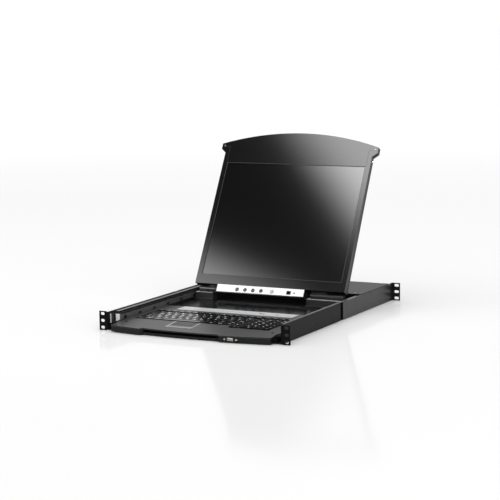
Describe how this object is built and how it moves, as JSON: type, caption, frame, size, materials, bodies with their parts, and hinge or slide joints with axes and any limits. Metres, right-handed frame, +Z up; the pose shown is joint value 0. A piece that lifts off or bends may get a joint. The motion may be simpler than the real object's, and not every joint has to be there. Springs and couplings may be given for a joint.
{
  "type": "rackmount lcd console drawer",
  "caption": "One-unit rack drawer on ball slides with a keyboard, a touchpad and a tilting flat display, in a steel chassis with rack ears and adjustable rear brackets",
  "frame": {"origin": "centre of the front rack hole rectangle, on the front face of the front ears", "axes": "+X to the right as the user faces the front, +Y into the rack, +Z up"},
  "size_m": [0.4826, 0.6611, 0.4134],
  "materials": {
    "black_coat": "fine satin powder coat",
    "zinc_steel": "bright zinc plate",
    "black_plastic": "fine grain moulding",
    "key_plastic": "smooth matte",
    "screen_face": "smooth dark panel",
    "grey_panel": "satin printed film",
    "board_green": "solder mask",
    "lamp_green": "clear tinted",
    "port_metal": "nickel plate",
    "pale_plastic": "satin"
  },
  "bodies": {
    "chassis": {"chassis_pan": "black_coat", "front_ear_left": "black_coat", "front_ear_right": "black_coat", "top_cover": "black_coat", "bay_front_wall": "black_coat", "rear_panel": "black_coat", "rear_ports": "port_metal", "power_inlet": "black_plastic", "rocker_frame": "black_plastic", "control_board": "board_green", "power_supply": "zinc_steel", "chassis_screws": "zinc_steel", "slide_outer_left": "zinc_steel", "slide_outer_right": "zinc_steel"},
    "rear_bracket_l": {"rear_bracket_left": "black_coat"},
    "rear_bracket_r": {"rear_bracket_right": "black_coat"},
    "rocker": {"power_rocker": "black_plastic"},
    "drawer": {"drawer_tray": "black_coat", "deck_plate": "black_coat", "slide_inner_left": "zinc_steel", "slide_inner_right": "zinc_steel", "keyboard_case": "black_plastic", "front_bezel": "black_plastic", "front_usb_port": "port_metal", "front_lamps": "lamp_green", "status_strip": "grey_panel", "keyboard_board": "board_green", "touchpad_frame": "black_plastic", "touchpad_plate": "black_plastic", "hinge_block_left": "black_coat", "hinge_block_right": "black_coat"},
    "display": {"lcd_front_frame": "black_plastic", "lcd_back_cover": "black_plastic", "lcd_screen": "screen_face", "lcd_driver_board": "board_green", "control_strip": "black_plastic", "hinge_arm_left": "zinc_steel", "hinge_arm_right": "zinc_steel"},
    "slide_middle_l": {"slide_middle_left": "zinc_steel"},
    "outer_cage_l": {"outer_cage_left": "zinc_steel"},
    "inner_cage_l": {"inner_cage_left": "zinc_steel"},
    "slide_middle_r": {"slide_middle_right": "zinc_steel"},
    "outer_cage_r": {"outer_cage_right": "zinc_steel"},
    "inner_cage_r": {"inner_cage_right": "zinc_steel"},
    "keys_number_row_body": {"keys_number_row": "key_plastic"},
    "keys_upper_row_body": {"keys_upper_row": "key_plastic"},
    "keys_home_row_body": {"keys_home_row": "key_plastic"},
    "keys_lower_row_body": {"keys_lower_row": "key_plastic"},
    "keys_space_row_body": {"keys_space_row": "key_plastic"},
    "keys_number_pad_body": {"keys_number_pad": "key_plastic"},
    "keys_bottom_row_body": {"keys_bottom_row": "key_plastic"},
    "keys_function_row_body": {"keys_function_row": "key_plastic"},
    "pad_button_l": {"touchpad_button_left": "pale_plastic"},
    "pad_button_r": {"touchpad_button_right": "pale_plastic"},
    "osd_button_1_body": {"osd_button_1": "key_plastic"},
    "osd_button_2_body": {"osd_button_2": "key_plastic"},
    "osd_button_3_body": {"osd_button_3": "key_plastic"},
    "osd_button_4_body": {"osd_button_4": "key_plastic"},
    "power_button_body": {"power_button": "pale_plastic"},
    "firmware_lever": {"firmware_switch": "black_plastic"}
  },
  "joints": [
    {"name": "drawer_slide", "type": "slide", "parent": "chassis", "child": "drawer", "axis": [0, -1, 0], "range_m": [0, 0.4]},
    {"name": "display_hinge", "type": "hinge", "parent": "drawer", "child": "display", "pos_m": [0, 0.392, 0.018], "axis": [1, 0, 0], "range_deg": [0, 118.93]},
    {"name": "rear_bracket_left_slide", "type": "slide", "parent": "chassis", "child": "rear_bracket_l", "axis": [0, 1, 0], "range_m": [0, 0.085]},
    {"name": "rear_bracket_right_slide", "type": "slide", "parent": "chassis", "child": "rear_bracket_r", "axis": [0, 1, 0], "range_m": [0, 0.085]},
    {"name": "power_rocker_turn", "type": "hinge", "parent": "chassis", "child": "rocker", "pos_m": [-0.148, 0.614, 0], "axis": [0, 0, 1], "range_deg": [0, 12]},
    {"name": "slide_middle_left_run", "type": "slide", "parent": "chassis", "child": "slide_middle_l", "axis": [0, -1, 0], "range_m": [0, 0.2]},
    {"name": "outer_cage_left_run", "type": "slide", "parent": "chassis", "child": "outer_cage_l", "axis": [0, -1, 0], "range_m": [0, 0.1]},
    {"name": "inner_cage_left_run", "type": "slide", "parent": "chassis", "child": "inner_cage_l", "axis": [0, -1, 0], "range_m": [0, 0.3]},
    {"name": "slide_middle_right_run", "type": "slide", "parent": "chassis", "child": "slide_middle_r", "axis": [0, -1, 0], "range_m": [0, 0.2]},
    {"name": "outer_cage_right_run", "type": "slide", "parent": "chassis", "child": "outer_cage_r", "axis": [0, -1, 0], "range_m": [0, 0.1]},
    {"name": "inner_cage_right_run", "type": "slide", "parent": "chassis", "child": "inner_cage_r", "axis": [0, -1, 0], "range_m": [0, 0.3]},
    {"name": "keys_number_row_press", "type": "slide", "parent": "drawer", "child": "keys_number_row_body", "axis": [0, 0, -1], "range_m": [0, 0.002], "stiffness_N_per_m": 600, "springref_m": -0.001},
    {"name": "keys_upper_row_press", "type": "slide", "parent": "drawer", "child": "keys_upper_row_body", "axis": [0, 0, -1], "range_m": [0, 0.002], "stiffness_N_per_m": 600, "springref_m": -0.001},
    {"name": "keys_home_row_press", "type": "slide", "parent": "drawer", "child": "keys_home_row_body", "axis": [0, 0, -1], "range_m": [0, 0.002], "stiffness_N_per_m": 600, "springref_m": -0.001},
    {"name": "keys_lower_row_press", "type": "slide", "parent": "drawer", "child": "keys_lower_row_body", "axis": [0, 0, -1], "range_m": [0, 0.002], "stiffness_N_per_m": 600, "springref_m": -0.001},
    {"name": "keys_space_row_press", "type": "slide", "parent": "drawer", "child": "keys_space_row_body", "axis": [0, 0, -1], "range_m": [0, 0.002], "stiffness_N_per_m": 600, "springref_m": -0.001},
    {"name": "keys_number_pad_press", "type": "slide", "parent": "drawer", "child": "keys_number_pad_body", "axis": [0, 0, -1], "range_m": [0, 0.002], "stiffness_N_per_m": 600, "springref_m": -0.001},
    {"name": "keys_bottom_row_press", "type": "slide", "parent": "drawer", "child": "keys_bottom_row_body", "axis": [0, 0, -1], "range_m": [0, 0.002], "stiffness_N_per_m": 600, "springref_m": -0.001},
    {"name": "keys_function_row_press", "type": "slide", "parent": "drawer", "child": "keys_function_row_body", "axis": [0, 0, -1], "range_m": [0, 0.002], "stiffness_N_per_m": 600, "springref_m": -0.001},
    {"name": "touchpad_button_left_press", "type": "slide", "parent": "drawer", "child": "pad_button_l", "axis": [0, 0, -1], "range_m": [0, 0.0006], "stiffness_N_per_m": 400, "springref_m": -0.0005},
    {"name": "touchpad_button_right_press", "type": "slide", "parent": "drawer", "child": "pad_button_r", "axis": [0, 0, -1], "range_m": [0, 0.0006], "stiffness_N_per_m": 400, "springref_m": -0.0005},
    {"name": "osd_button_1_press", "type": "slide", "parent": "display", "child": "osd_button_1_body", "axis": [0, 0.8752, -0.4837], "range_m": [0, 0.0008], "stiffness_N_per_m": 300, "springref_m": -0.0005},
    {"name": "osd_button_2_press", "type": "slide", "parent": "display", "child": "osd_button_2_body", "axis": [0, 0.8752, -0.4837], "range_m": [0, 0.0008], "stiffness_N_per_m": 300, "springref_m": -0.0005},
    {"name": "osd_button_3_press", "type": "slide", "parent": "display", "child": "osd_button_3_body", "axis": [0, 0.8752, -0.4837], "range_m": [0, 0.0008], "stiffness_N_per_m": 300, "springref_m": -0.0005},
    {"name": "osd_button_4_press", "type": "slide", "parent": "display", "child": "osd_button_4_body", "axis": [0, 0.8752, -0.4837], "range_m": [0, 0.0008], "stiffness_N_per_m": 300, "springref_m": -0.0005},
    {"name": "power_button_press", "type": "slide", "parent": "display", "child": "power_button_body", "axis": [0, 0.8752, -0.4837], "range_m": [0, 0.0008], "stiffness_N_per_m": 300, "springref_m": -0.0005},
    {"name": "firmware_switch_slide", "type": "slide", "parent": "display", "child": "firmware_lever", "axis": [-1, 0, 0], "range_m": [0, 0.0016]}
  ],
  "couplings": [
    {"joint": "slide_middle_left_run", "follows": "drawer_slide", "ratio": 0.5},
    {"joint": "outer_cage_left_run", "follows": "drawer_slide", "ratio": 0.25},
    {"joint": "inner_cage_left_run", "follows": "drawer_slide", "ratio": 0.75},
    {"joint": "slide_middle_right_run", "follows": "drawer_slide", "ratio": 0.5},
    {"joint": "outer_cage_right_run", "follows": "drawer_slide", "ratio": 0.25},
    {"joint": "inner_cage_right_run", "follows": "drawer_slide", "ratio": 0.75}
  ]
}
